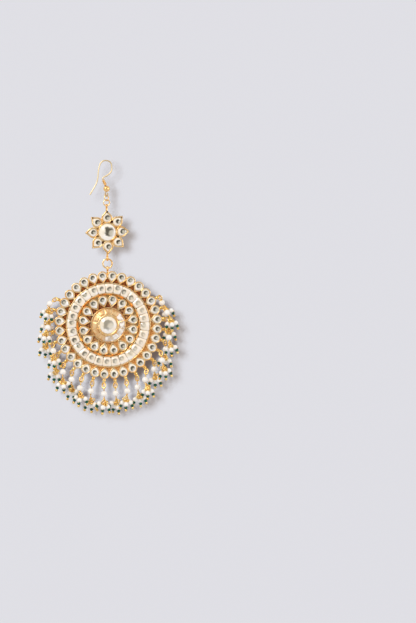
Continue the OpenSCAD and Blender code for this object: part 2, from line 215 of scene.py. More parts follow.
# Materials: a socket that is added and multiplied like a number, and the material that holds it
class Socket:
    def __init__(self, finish, socket):
        self.finish = finish
        self.socket = socket

    def worked(self, operation, first, second=None):
        values = {0: first} if second is None else {0: first, 1: second}
        return self.finish.node("ShaderNodeMath", {"operation": operation}, values)

    def __add__(self, other):
        return self.worked("ADD", self, other)

    def __sub__(self, other):
        return self.worked("SUBTRACT", self, other)

    def __rsub__(self, other):
        return self.worked("SUBTRACT", other, self)

    def __mul__(self, other):
        return self.worked("MULTIPLY", self, other)

    def __truediv__(self, other):
        return self.worked("DIVIDE", self, other)

    def __pow__(self, other):
        return self.worked("POWER", self, other)

    __radd__ = __add__
    __rmul__ = __mul__

    def rise(self, low, high):            # 0 below low, 1 above high, smooth between
        return self.finish.node(
            "ShaderNodeMapRange",
            {"interpolation_type": "SMOOTHSTEP", "clamp": True},
            {"Value": self, "From Min": low, "From Max": high},
        )

    def fall(self, low, high):            # 1 below low, 0 above high
        return 1 - self.rise(low, high)


class Finish:
    def __init__(self, name):
        self.material = bpy.data.materials.new(name)
        self.material.use_nodes = True
        self.tree = self.material.node_tree
        self.tree.nodes.clear()

    def node(self, kind, settings, inputs, output=0):
        made = self.tree.nodes.new(kind)
        for key, value in settings.items():
            setattr(made, key, value)
        for key, value in inputs.items():
            if isinstance(value, Socket):
                self.tree.links.new(value.socket, made.inputs[key])
            else:
                made.inputs[key].default_value = value
        return Socket(self, made.outputs[output])

    def mix(self, factor, low, high):     # colours, blended by a factor
        return self.node("ShaderNodeMix", {"data_type": "RGBA"}, {0: factor, 6: low, 7: high}, 2)

    def split(self, vector):
        parts = self.node("ShaderNodeSeparateXYZ", {}, {0: vector})
        return [Socket(self, out) for out in parts.socket.node.outputs]

    def place(self):                      # position in the earring's own frame
        return self.node("ShaderNodeTexCoord", {}, {}, "Object")

    def noise(self, scale, detail):
        values = {"Vector": self.place(), "Scale": scale, "Detail": detail}
        return self.node("ShaderNodeTexNoise", {}, values)

    def bump(self, height, strength, distance):
        values = {"Height": height, "Strength": strength, "Distance": distance}
        return self.node("ShaderNodeBump", {}, values)

    def stoneMaps(self):                  # u and v on a stone, and the two chance values it has
        u, v, _ = self.split(self.node("ShaderNodeUVMap", {"uv_map": "stone"}, {}))
        tossA, tossB, _ = self.split(self.node("ShaderNodeUVMap", {"uv_map": "toss"}, {}))
        return u, v, tossA, tossB

    def shader(self, inputs):
        surface = self.node("ShaderNodeBsdfPrincipled", {}, inputs)
        end = self.tree.nodes.new("ShaderNodeOutputMaterial")
        self.tree.links.new(surface.socket, end.inputs["Surface"])


# Besides the gold's own tones, some are painted light and shade: a deeper tone for surfaces further
# back, and the shade and light in hollows, pits and the wells' pyramids
goldTones = {
    "pale": (1.0, 0.755, 0.400, 1),
    "warm": (1.0, 0.590, 0.205, 1),
    "paintedDepthShade": (1.0, 0.600, 0.210, 1),
    "backDeep": (0.97, 0.620, 0.255, 1),
    "backPale": (1.0, 0.700, 0.325, 1),
    "paintedWellShade": (0.60, 0.215, 0.050, 1),
    "paintedRecessShade": (0.22, 0.045, 0.012, 1),
    "litRecess": (1.0, 0.600, 0.200, 1),
    "paintedPitShade": (0.060, 0.014, 0.006, 1),
    "wellLight": (1.0, 0.74, 0.33, 1),
}
hollowSetup = {
    "fadeIn": 0.5,                # soft edge of a band of hollows, at its inner radius, in mm
    "fadeOut": 1.2,               # and at its outer one
    "litReach": 24,               # how gently the painted shade of the upper left turns to the painted light of the lower right, in mm
    "litSlope": 0.45,
    "backFrom": 0.25,             # y where the front's tones start to give way to the back's, in mm
    "backTo": 0.5,
    "turningMarks": 3600,         # radians for each metre of radius
}


def goldBase(paint):                      # warm gold that drifts between a paler and a deeper tone
    drift = paint.noise(210, 2).rise(0.36, 0.66)
    grain = paint.noise(1500, 3)
    tone = paint.mix(drift, goldTones["warm"], goldTones["pale"])
    return tone, grain


def paleWireGold():                       # the lighter, softer gold of the ear wire
    paint = Finish("paleGoldWire")
    drift = paint.noise(120, 2).rise(0.35, 0.7)
    paint.shader({
        "Base Color": paint.mix(drift, (0.68, 0.51, 0.265, 1), (0.79, 0.665, 0.43, 1)),
        "Metallic": 1.0,
        "Roughness": 0.42 + paint.noise(1500, 3) * 0.12,
    })
    return paint.material


def wireGold():
    paint = Finish("polishedGoldWire")
    tone, grain = goldBase(paint)
    paint.shader({
        "Base Color": tone,
        "Metallic": 1.0,
        "Roughness": 0.16 + grain * 0.16,
        "Normal": paint.bump(grain, 0.25, 0.00008),
    })
    return paint.material


def seedGold():                           # yellower gold of the small beads and loops
    paint = Finish("seedGold")
    drift = paint.noise(700, 2).rise(0.35, 0.65)
    paint.shader({
        "Base Color": paint.mix(drift, (0.78, 0.44, 0.10, 1), (1.0, 0.74, 0.28, 1)),
        "Metallic": 1.0,
        "Roughness": 0.18 + paint.noise(1500, 2) * 0.14,
    })
    return paint.material


def settingGold(name, setup):
    # gold with painted shade: a deeper tone further back, red-brown down in the hollows, which lie in
    # bands of radii, turning to painted light toward the lower right, and dark in a few pits
    paint = Finish(name)
    tone, grain = goldBase(paint)
    x, y, z = paint.split(paint.place())
    r = ((x - setup["x"]) ** 2 + (z - setup["z"]) ** 2) ** 0.5
    front = y.fall(hollowSetup["backFrom"] * mm, hollowSetup["backTo"] * mm)
    top, floor = setup["hollowDepth"]
    depth = y.rise(setup["y"] - top * mm, setup["y"] - floor * mm) * front
    fadeIn, fadeOut = hollowSetup["fadeIn"] * mm, hollowSetup["fadeOut"] * mm
    zone = sum(
        r.rise(inner * mm, inner * mm + fadeIn) * r.fall(outer * mm - fadeOut, outer * mm)
        for inner, outer in setup["hollows"]
    )
    hollow = depth * zone
    # noise that breaks up the painted shade in the hollows
    edge = paint.noise(900, 1).rise(0.25, 0.6)
    turned = paint.node("ShaderNodeMath", {"operation": "SINE"}, {0: r * hollowSetup["turningMarks"]})
    back = paint.mix(paint.noise(60, 2), goldTones["backDeep"], goldTones["backPale"])
    tone = paint.mix(front, back, tone)
    # surfaces further back take a deeper tone, painted shade
    depthShadedTone = paint.mix(depth * 0.45, tone, goldTones["paintedDepthShade"])
    # painted shade and light in the hollows: red-brown painted shade at the upper left turns to lit gold
    # toward the lower right
    slant = (x * hollowSetup["litSlope"] - (z - setup["z"])) / (hollowSetup["litReach"] * mm)
    lit = (slant + (paint.noise(400, 1) - 0.5) * 0.9).rise(-0.2, 0.8)
    paintedRecessShade = paint.mix(lit, goldTones["paintedRecessShade"], goldTones["litRecess"])
    colour = paint.mix(hollow * (0.5 + 0.5 * edge), depthShadedTone, paintedRecessShade)
    # dark spots of painted shade in the pits
    for pitX, pitZ, size in setup["pits"]:
        away = ((x - (setup["x"] + pitX * mm)) ** 2 + (z - (setup["z"] + pitZ * mm)) ** 2) ** 0.5
        colour = paint.mix(away.fall(size * mm * 0.45, size * mm) * front, colour, goldTones["paintedPitShade"])
    paint.shader({
        "Base Color": colour,
        "Metallic": 1 - hollow * 0.5,
        "Roughness": 0.2 + grain * 0.16 + hollow * 0.2 + (1 - front) * 0.12,
        "Normal": paint.bump(grain * front * 0.4 + turned * (1 - front), 0.3, 0.0002),
    })
    return paint.material


def wellGold():
    # pyramids in the wells: red-brown painted shade at the upper left, brighter gold below as painted
    # light
    paint = Finish("wellGold")
    x, _, z = paint.split(paint.place())
    slant = (x * hollowSetup["litSlope"] - z + medallion["z"]) / (hollowSetup["litReach"] * mm)
    lit = slant + (paint.noise(330, 1) - 0.5) * 1.6
    paint.shader({
        "Base Color": paint.mix(lit.rise(-0.5, 0.45), goldTones["paintedWellShade"], goldTones["wellLight"]),
        "Metallic": 0.55,
        "Roughness": 0.22 + paint.noise(1500, 2) * 0.12,
    })
    return paint.material


# Tones of uncut stones. The window's olive is a painted reflection, its darkest tone a painted shadow,
# and the shade tone painted facet shade
polkiTones = {
    "ivory": (0.97, 0.900, 0.740, 1),
    "white": (1.0, 0.985, 0.940, 1),
    "shade": (0.66, 0.600, 0.460, 1),
    "olive": (0.55, 0.510, 0.385, 1),
    "dark": (0.050, 0.043, 0.026, 1),
    "peach": (0.97, 0.800, 0.600, 1),
    "honey": (0.86, 0.690, 0.430, 1),
}
# The window is the dark middle of a stone: its size, its shift and its strength, how uneven its outline
# is, and how much its place (jitter) and strength (spread) differ from stone to stone. It is round at
# corner 2 and squarer above. Peach and honey tint the border, and lit windows fade toward the light
polkiStones = {
    "petalPolki": {"window": 0.72, "shift": (0.02, 0.04), "strength": 1.0, "jitter": 0.1, "honey": 0.3},
    "flowerPolki": {"window": 0.52, "shift": (0.22, 0.06), "strength": 0.88, "corner": 4, "honey": 0.3},
    "pearPolki": {
        "window": 0.68, "shift": (-0.02, 0.05), "strength": 1.0,
        "spread": 0.12, "jitter": 0.16, "honey": 0.15,
    },
    "channelPolki": {
        "window": 0.48, "shift": (-0.10, 0.12), "strength": 1.0,
        "spread": 0.4, "jitter": 0.5, "peach": 0.5, "honey": 0.7, "lit": 0.6,
    },
    "centrePolki": {"window": 0.62, "shift": (0.05, 0.0), "strength": 0.5, "honey": 0.6},
}


def polki(
    name, window, shift, strength, corner=2, uneven=0.56, jitter=0, spread=0, peach=0, honey=0, lit=0
):
    # uncut stone over foil: pale sloping border, grey-olive window of painted reflection with a dark
    # crescent of painted shadow, upper left
    paint = Finish(name)
    u, v, tossA, tossB = paint.stoneMaps()
    wave = paint.noise(520, 2) - 0.5
    du = u - shift[0] + wave * uneven + (tossA - 0.5) * jitter
    dv = v - shift[1] + (paint.noise(470, 2) - 0.5) * uneven + (tossB - 0.5) * jitter
    r = (du ** corner + dv ** corner) ** (1 / corner)
    fade = (du - dv).fall(window * 0.5, window * 1.5)      # the painted reflection fades toward the lower right
    inside = r.fall(window * 0.80, window * 1.16) * (0.6 + 0.4 * fade)
    leanU = du - window * 0.34 + (tossA - 0.5) * 0.16
    leanV = dv + window * 0.26 + (tossB - 0.5) * 0.16
    lean = (leanU ** 2 + leanV ** 2) ** 0.5
    # the crescent is painted shadow at the upper left of the window
    shadowCrescent = lean.rise(window * 0.32, window * 0.84) * inside
    force = strength * (1 - spread + spread * (tossA * tossB + tossA * 0.5)) if spread else strength
    if lit:                               # painted light: the window weakens toward the light, which comes from the right
        x, _, z = paint.split(paint.place())
        side = ((x * 0.85 - (z - medallion["z"]) * 0.35) / (20 * mm)).rise(-0.5, 0.9)
        force = force * (1 - lit * side)
    # patches of painted facet shade near the window, and the border painted lighter toward the lower
    # right
    shade = paint.noise(300, 1).rise(0.35, 0.7) * r.fall(window * 1.0, window * 1.8) * 0.8
    pale = paint.mix((u - v).rise(-0.9, 1.1), polkiTones["ivory"], polkiTones["white"])
    pale = paint.mix(shade * strength, pale, polkiTones["shade"])
    if honey:
        pale = paint.mix(paint.noise(420, 1).rise(0.1, 0.8) * honey, pale, polkiTones["honey"])
    warm = paint.mix(tossB * peach, pale, polkiTones["peach"]) if peach else pale
    withPaintedReflection = paint.mix(inside * force, warm, polkiTones["olive"])
    paint.shader({
        "Base Color": paint.mix(shadowCrescent * force, withPaintedReflection, polkiTones["dark"]),
        "Roughness": 0.10 + paint.noise(800, 2) * 0.10,
        "IOR": 1.62,
        "Coat Weight": 0.5 * inside + 0.3,
        "Coat Roughness": 0.04,
    })
    return paint.material


def collarPaintedReflection():
    # foiled stones round the boss in painted reflection: gold at the upper left, blotched white toward
    # the lower right
    paint = Finish("collarPaintedReflection")
    x, _, z = paint.split(paint.place())
    _, _, tossA, tossB = paint.stoneMaps()
    side = ((x * 0.8 - (z - medallion["z"]) * 0.6) / (8.4 * mm) + (tossA - 0.5) * 0.5).rise(-0.12, 0.34)
    blotch = paint.noise(620, 2).rise(0.42, 0.62)
    gold = paint.mix(blotch, (0.74, 0.41, 0.16, 1), (0.90, 0.62, 0.30, 1))
    white = paint.mix(blotch * (0.5 + 0.5 * tossB), (0.98, 0.93, 0.84, 1), (0.50, 0.35, 0.20, 1))
    paint.shader({
        "Base Color": paint.mix(side, gold, white),
        "Metallic": side.fall(0.2, 0.8) * 0.6,
        "Roughness": 0.24 + paint.noise(900, 2) * 0.12,
        "IOR": 1.6,
    })
    return paint.material


def pearlLustre():
    paint = Finish("pearlLustre")
    cloud = paint.noise(260, 2).rise(0.3, 0.7)
    skin = paint.noise(2600, 2)
    paint.shader({
        "Base Color": paint.mix(cloud, (0.92, 0.855, 0.735, 1), (0.98, 0.95, 0.87, 1)),
        "Roughness": 0.20 + cloud * 0.08,
        "Specular IOR Level": 0.6,
        "Coat Weight": 0.6 + cloud * 0.2,
        "Coat Roughness": 0.10,
        "Normal": paint.bump(skin, 0.08, 0.00005),
    })
    return paint.material


def greenGlass():
    paint = Finish("greenGlassBead")
    cloud = paint.noise(700, 2)
    paint.shader({
        "Base Color": paint.mix(cloud.rise(0.3, 0.7), (0.0, 0.045, 0.022, 1), (0.001, 0.125, 0.064, 1)),
        "Roughness": 0.20 + cloud * 0.1,
        "IOR": 1.5,
        "Specular IOR Level": 0.3,
    })
    return paint.material


# Tools for modelling
def clearSelection():
    if bpy.context.object and bpy.context.object.mode != "OBJECT":
        bpy.ops.object.mode_set(mode="OBJECT")
    bpy.ops.object.select_all(action="DESELECT")


def choose(piece):
    clearSelection()
    piece.select_set(True)
    bpy.context.view_layer.objects.active = piece


def copyOfNode(node, name):               # a merged copy of a CAD piece, with its flat faces made whole
    source = frame["nodes"][node]
    piece = bpy.data.objects.new(name, source.data.copy())
    scene.collection.objects.link(piece)
    piece.data.materials.clear()
    choose(piece)
    bpy.ops.object.mode_set(mode="EDIT")
    bpy.ops.mesh.select_all(action="SELECT")
    bpy.ops.mesh.remove_doubles(threshold=0.002 * mm)
    bpy.ops.mesh.dissolve_limited(angle_limit=math.radians(1))
    bpy.ops.object.mode_set(mode="OBJECT")
    return piece


def addModifier(piece, kind, **settings):
    choose(piece)
    modifier = piece.modifiers.new(kind.lower(), kind)
    for key, value in settings.items():
        setattr(modifier, key, value)
    bpy.ops.object.modifier_apply(modifier=modifier.name)


def stretch(model, width, depth, height):  # scales a new model, which is selected all over
    bpy.ops.object.mode_set(mode="EDIT")
    bpy.ops.transform.resize(value=(width, depth, height))
    bpy.ops.object.mode_set(mode="OBJECT")
    return model


def joined(parts):
    clearSelection()
    for part in parts:
        part.select_set(True)
    bpy.context.view_layer.objects.active = parts[0]
    bpy.ops.object.join()
    return bpy.context.object


def copies(model, places):                # one mesh from a model that is set down at many places
    twins = []
    for place in places:
        twin = bpy.data.objects.new(model.name, model.data.copy())
        twin.data.transform(place)
        scene.collection.objects.link(twin)
        twins.append(twin)
    bpy.data.objects.remove(model)
    return joined(twins)


def finishPiece(piece, name, material, body, angle=40, replaced=()):
    piece.name = name
    piece.data.name = name
    piece.data.materials.clear()
    piece.data.materials.append(material)
    choose(piece)
    bpy.ops.object.transform_apply(location=True, rotation=True, scale=True)
    bpy.ops.object.shade_smooth_by_angle(angle=math.radians(angle))
    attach(piece, body)
    if replaced:
        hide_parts(*replaced)
    return piece


def islandsOf(mesh):                      # the vertices of each stone in a field
    group = list(range(len(mesh.vertices)))

    def root(i):
        while group[i] != i:
            group[i] = group[group[i]]
            i = group[i]
        return i

    for edge in mesh.edges:
        a, b = root(edge.vertices[0]), root(edge.vertices[1])
        group[a] = b
    islands = {}
    for i in range(len(group)):
        islands.setdefault(root(i), []).append(i)
    return list(islands.values())


stoneSetup = {
    "flat": 0.03,                 # a point this near the front is on the flat top, in mm
    "girdle": 0.4,                # and one deeper than this is on the girdle
    "softened": 12,               # edges sharper than this are softened, in degrees
}


def mapStones(piece, seed, push):
    # UV maps: place on the stone, from the middle of its flat top, and two chance values for each stone
    draw = random.Random(seed)
    mesh = piece.data
    where, toss = {}, {}
    for island in islandsOf(mesh):
        points = [mesh.vertices[i].co for i in island]
        front = min(p.y for p in points)
        flat = [p for p in points if p.y < front + stoneSetup["flat"] * mm]
        middle = sum(flat, Vector()) / len(flat)
        girdle = [p for p in points if p.y > front + stoneSetup["girdle"] * mm]
        half = min((Vector((p.x, 0, p.z)) - Vector((middle.x, 0, middle.z))).length for p in girdle)
        chance = (draw.random(), draw.random())
        for i, p in zip(island, points):
            where[i] = ((p.x - middle.x - push[0]) / half, (p.z - middle.z - push[1]) / half)
            toss[i] = chance
    stoneMap = mesh.uv_layers.new(name="stone")
    tossMap = mesh.uv_layers.new(name="toss")
    for loop in mesh.loops:
        stoneMap.data[loop.index].uv = where[loop.vertex_index]
        tossMap.data[loop.index].uv = toss[loop.vertex_index]


def cutStones(node, name, material, body, edge, seed, push=(0, 0)):
    # finer stones in place of a node's, their edges softened by edge mm and their windows moved by push
    piece = copyOfNode(node, name)
    softened = math.radians(stoneSetup["softened"])
    addModifier(piece, "BEVEL", width=edge * mm, segments=2, limit_method="ANGLE", angle_limit=softened)
    mapStones(piece, seed, push)
    return finishPiece(piece, name, material, body, 16, [node])


# Metalwork: the soft rims of the collets
rimSetup = {
    "flat": 0.62,                 # height of a rim's section against its width
    "sink": 0.05,                 # how far its middle lies under the top of the wall, in mm
    "segments": 40,
    "sides": 8,
}


def roundRim(radius, width, segments):    # ring with a flattened round section, face up, in mm
    bpy.ops.mesh.primitive_torus_add(
        major_radius=radius * mm, minor_radius=width / 2 * mm,
        major_segments=segments, minor_segments=rimSetup["sides"]
    )
    return stretch(bpy.context.object, 1, 1, rimSetup["flat"])


def pearRim(radius, reach, width):        # a round rim drawn out to a point along -Y
    model = roundRim(radius, width, rimSetup["segments"])
    opening = math.acos(radius / reach)
    for vertex in model.data.vertices:
        x, y, _ = vertex.co
        lean = abs(math.atan2(x, -y))         # angle away from the point
        if lean < opening:
            pull = (1 / math.cos(opening - lean) - 1) * radius * mm / math.hypot(x, y)
            vertex.co.x += x * pull
            vertex.co.y += y * pull
    return model


def faceUp(at, outward):
    # sets a face-up model down facing -Y, with its own -Y along outward
    facing = Vector((0, -1, 0))
    up = -outward.normalized()
    return Matrix.Translation(at) @ Matrix((up.cross(facing), up, facing)).transposed().to_4x4()


# Medallion and flower, as they hang. Rims are radius, width and height, and hollows two radii, in mm
medallion = {
    "x": 0, "y": -0.05 * mm, "z": -81.9 * mm,
    "turn": 0.3,                  # degrees
    "hollows": [(8.3, 14.2), (20.9, 25.0)],
    "hollowDepth": (0.95, 0.1),   # height in mm where the gold starts to take on painted shade, and where it has it fully
    "pits": [],
    "outerWells": {
        "count": 32, "radius": 22.15, "size": 1.4, "tip": 0.12, "height": 0.95, "base": -0.02,
    },
    "innerWells": {
        "count": 16, "radius": 9.95, "size": 1.0, "tip": 0.12, "height": 0.7, "base": -0.02,
    },
    "roundRims": [(15.8, 0.34, 1.85), (20.95, 0.42, 1.85), (4.87, 1.0, 3.2), (8.6, 0.44, 1.05)],
}
flower = {
    "x": 0.25 * mm, "y": 0.06 * mm, "z": -35.5 * mm,
    "backRadius": 6.7 * mm, "backThickness": 0.25 * mm, "backAt": 0.8 * mm, "backEdge": 0.08 * mm,
    "windowOut": 0.55 * mm, "windowRight": 0.4 * mm,  # where the dark windows sit in the petals' stones
    "hollows": [(4.4, 7.0)],
    "hollowDepth": (0.9, 0.1),
    # dark spots of painted shade at the tips of petals and in gaps: x and z from the middle, and size,
    # in mm
    "pits": [
        (0.15, 10.1, 0.62), (-7.25, 7.15, 0.6), (7.35, 7.05, 0.45),
        (2.35, 5.1, 1.0), (-2.3, -5.2, 0.95), (-5.2, -2.1, 0.6), (5.3, -2.2, 0.7),
    ],
    "roundRims": [(4.45, 0.44, 1.75)],
}
medallionMiddle = (medallion["x"], medallion["y"], medallion["z"])
flowerMiddle = (flower["x"], flower["y"], flower["z"])
# Rings of pear collets, in mm and degrees. Ring is the radius of their middles, reach runs from a middle
# to the tip, wall and rim are a wall's width and height, and point is 1 for tips outward, -1 inward
outerCollets = {
    "count": 32, "ring": 24.555, "rimRadius": 2.205, "reach": 3.24, "wall": 0.52, "rim": 1.1,
    "start": medallion["turn"] + 180 / 32, "middle": medallionMiddle, "point": -1,
}
innerCollets = {
    "count": 16, "ring": 12.75, "rimRadius": 2.155, "reach": 3.60, "wall": 0.5, "rim": 1.1,
    "start": medallion["turn"] + 180 / 16, "middle": medallionMiddle, "point": -1,
}
petalCollets = {
    "count": 8, "ring": 7.0, "rimRadius": 2.38, "reach": 3.62, "wall": 0.68, "rim": 1.1,
    "start": 90 + 1.2, "middle": flowerMiddle, "point": 1,
}


def onMedallion(angle, radius, height):   # a place on the medallion: degrees, radius and height in mm
    a = math.radians(angle)
    x, z = radius * mm * math.cos(a), radius * mm * math.sin(a)
    return Vector((x, medallion["y"] - height * mm, medallion["z"] + z))


def collets(setup):                       # the rims of a ring of pear collets
    model = pearRim(setup["rimRadius"], setup["reach"], setup["wall"])
    places = []
    for i in range(setup["count"]):
        a = math.radians(setup["start"] + 360 * i / setup["count"])
        ray = Vector((math.cos(a), 0, math.sin(a)))
        height = Vector((0, -(setup["rim"] - rimSetup["sink"]) * mm, 0))
        at = Vector(setup["middle"]) + ray * setup["ring"] * mm + height
        places.append(faceUp(at, ray * setup["point"]))
    return copies(model, places)


def plainRims(middle, rims):              # round rims about a middle
    parts = []
    for radius, width, height in rims:
        model = roundRim(radius, width, 128)
        at = Vector(middle) + Vector((0, -(height - rimSetup["sink"]) * mm, 0))
        parts.append(copies(model, [faceUp(at, Vector((0, 0, -1)))]))
    return parts


def wellPyramids(setup, name, material):
    # small three-sided pyramids in the hollows between the collets, their points outward
    bpy.ops.mesh.primitive_cone_add(
        vertices=3, radius1=setup["size"] * mm, radius2=setup["tip"] * mm, depth=setup["height"] * mm
    )
    model = bpy.context.object
    addModifier(model, "BEVEL", width=setup["tip"] / 2 * mm, segments=2)
    places = []
    for i in range(setup["count"]):
        angle = medallion["turn"] + 360 * i / setup["count"]
        outward = onMedallion(angle, 1, 0) - onMedallion(angle, 0, 0)
        at = onMedallion(angle, setup["radius"], setup["base"] + setup["height"] / 2)
        places.append(faceUp(at, -outward))
    piece = copies(model, places)
    return finishPiece(piece, name, material, "medallion", 20)


def flowerBack(material):                 # closes the small gaps between the petals from behind
    bpy.ops.mesh.primitive_cylinder_add(
        vertices=48, radius=flower["backRadius"], depth=flower["backThickness"],
        location=(flower["x"], flower["y"] + flower["backAt"], flower["z"]),
        rotation=(math.pi / 2, 0, 0)
    )
    piece = bpy.context.object
    addModifier(piece, "BEVEL", width=flower["backEdge"], segments=2, limit_method="ANGLE")
    return finishPiece(piece, "flowerBack", material, "flower", 40)


# Bead drops: side of the medallion, step from the lowest peg, pearl from its peg (x, z),
# hub from the pearl (x, z), and the swing of the three strands, in degrees toward +X
dropRows = [
    (-1, 0, 0.1, -5.1, 0, -4.5, -84, -15, 42),
    (-1, 1, -0.9, -4.8, -0.1, -5.2, -56, 2, 52),
    (-1, 2, -1, -5.3, 0.6, -3.8, -72, -21, 51),
    (-1, 3, -0.4, -4.1, 0.3, -5, -40, 12, 64),
    (-1, 4, -0.5, -4.3, 0, -5, -56, 10, 70),
    (-1, 5, -0.3, -4.3, -0.7, -4.8, -68, -19, 30),
    (-1, 6, 0.4, -3.8, 0.3, -3.6, -46, 4, 58),
    (-1, 7, -0.8, -3.9, -1.6, -3.4, -56, -8, 42),
    (-1, 8, -1, -3.5, -1.2, -3.1, -62, -14, 36),
    (-1, 9, -0.8, -3.7, -1.5, -3.7, -64, -12, 42),
    (-1, 10, -3, -2.6, -0.6, -3.8, -84, -30, 22),
    (1, 0, 0.1, -5, 0.4, -4.7, -86, -36, 16),
    (1, 1, 0.3, -5, -0.5, -4.3, -54, -4, 54),
    (1, 2, 0.1, -5.5, 0.7, -4.4, -50, 12, 68),
    (1, 3, -0.8, -5, 1.1, -4.2, -48, 4, 54),
    (1, 4, -0.2, -3.9, 0.3, -4, -52, 0, 52),
    (1, 5, 0.7, -4.3, 0.9, -4.2, -36, 16, 68),
    (1, 6, 0.4, -4.1, -0.4, -4.3, -62, -4, 52),
    (1, 7, 0.9, -4, 0.7, -3.8, -40, 12, 66),
    (1, 8, 0.4, -3.3, 0.7, -3.3, -50, 4, 56),
    (1, 9, 1.4, -2.9, 2.2, -3.7, -46, 6, 54),
    (1, 10, 1.1, -3.2, 2, -3.5, -22, 26, 78),
]
dropSetup = {                     # lengths in mm
    "hangAt": 29.35,              # radius of the eyelets' far wire
    "eyeletWire": 0.2,
    "play": 0.05,                 # room between a loop and its eyelet
    "pegHeight": -0.15,
    "loopRadius": 0.62,
    "wireRadius": 0.17,
    "farFrom": 5,                 # drops from this step on lie further to the front or back
    "pearlSide": (0.9, 1.5),      # how far a pearl lies to the front or back, near and far
    "hubSide": (1.4, 2.2),
    "lean": (-12, 28),            # lean of the outer strands and of the middle one, in degrees
    "strand": 2.65,               # hub to small pearl
    "smallPearl": 2.34,
    "greenBead": (1.86, 1.28),    # width and height of the short glass beads
    "greenSunk": 0.12,            # how far the dimple of a green bead takes in the small pearl
    "greenFall": (0.8, 0.9),      # how much it follows its strand, and how much it hangs plumb
    "goldSeed": 1.42,
    "seedSunk": 0.1,
    "seedFall": (0.45, 1.0),
    "plumb": 0.5,                 # how much of a strand's lean to front or back its last beads keep
    "hubLoop": (0.72, 0.25),      # radius and wire of the loops bunched round a hub
    "stemLoops": [(0.95, (0.2, -1, 0.1)), (1.7, (1, -0.35, 0.1))],  # how far above the hub, and axis
    "strandLoopAt": 0.85,         # one on each strand, from the hub
    "loopTilt": 0.5,              # random tilt of these and of the long loops
    "strayLoops": 3,              # in front of the hub
    "strayTilt": 0.8,
    "strayPlace": (1.3, -0.5, -1.0, 0.9),  # how far to the sides, to the front, down and up
    "cap": 0.96,                  # small bead on each strand, and its place from the hub
    "capAt": 1.38,
    "wireTurn": (0.2, 0.1),       # radius and wire of the turns wound on a stem
    "turns": (4, 3),              # above the pearl and under it
    "turnsFrom": 1.62,            # first turn from the middle of the pearl
    "turnStep": 0.2,
    "sleeveAt": 27.85,            # radius of the middle of a peg
    "sleeve": (1.75, 2.3),        # width and length of the round body on each peg
    "hangLoop": (0.92, 0.29),     # radius and wire of the long loop that a drop hangs by
    "hangStretch": 1.5,
    "hangUnder": 0.76,            # how far it hangs under the eyelet
    "hangFront": 0.3,
}


def dropPlaces():                         # each drop's points, in metres in the earring's frame
    base = Vector(medallionMiddle)
    eyelet = dropSetup["eyeletWire"] + dropSetup["play"]
    loopUnder = eyelet + dropSetup["wireRadius"] - dropSetup["loopRadius"]
    outerLean, middleLean = dropSetup["lean"]
    drops = []
    for side, step, pearlX, pearlZ, hubX, hubZ, *swings in dropRows:
        a = math.radians(270 + medallion["turn"] + side * (180 / 32 + 360 * step / 32))
        layer = (1 if step % 2 == 0 else -1) * side   # drops lie by turns to the back and the front
        far = step >= dropSetup["farFrom"]
        reach = dropSetup["hangAt"]
        peg = Vector((reach * math.cos(a), -dropSetup["pegHeight"], reach * math.sin(a)))
        pearl = Vector((peg.x + pearlX, layer * dropSetup["pearlSide"][far], peg.z + pearlZ))
        hub = Vector((pearl.x + hubX, layer * dropSetup["hubSide"][far], pearl.z + hubZ))
        loop = peg + Vector((0, 0, loopUnder))
        headings = []
        for k, swing in enumerate(swings):
            s = math.radians(swing)
            t = math.radians(layer * (middleLean if k == 1 else outerLean))
            headings.append(Vector((math.sin(s) * math.cos(t), math.sin(t), -math.cos(s) * math.cos(t))))
        drops.append({
            "ray": Vector((math.cos(a), 0, math.sin(a))), "headings": headings,
            "loop": base + loop * mm, "pearl": base + pearl * mm, "hub": base + hub * mm,
        })
    return drops


def along(direction, at):                 # sets a model's Z along a direction
    return Matrix.Translation(at) @ direction.to_track_quat("Z", "Y").to_matrix().to_4x4()


def seedModel(diameter, segments, rings, hole, length=None):
    # bead with a dimple where the wire goes in, made to its length along the wire
    bpy.ops.mesh.primitive_uv_sphere_add(segments=segments, ring_count=rings, radius=diameter / 2 * mm)
    model = bpy.context.object
    for vertex in model.data.vertices:
        flat = math.hypot(vertex.co.x, vertex.co.y)
        if flat < hole * mm:
            vertex.co.z *= 0.8
    return stretch(model, 1, 1, length / diameter) if length else model


def ringModel(radius, wire):
    bpy.ops.mesh.primitive_torus_add(
        major_radius=radius * mm, minor_radius=wire * mm, major_segments=18, minor_segments=8
    )
    return bpy.context.object


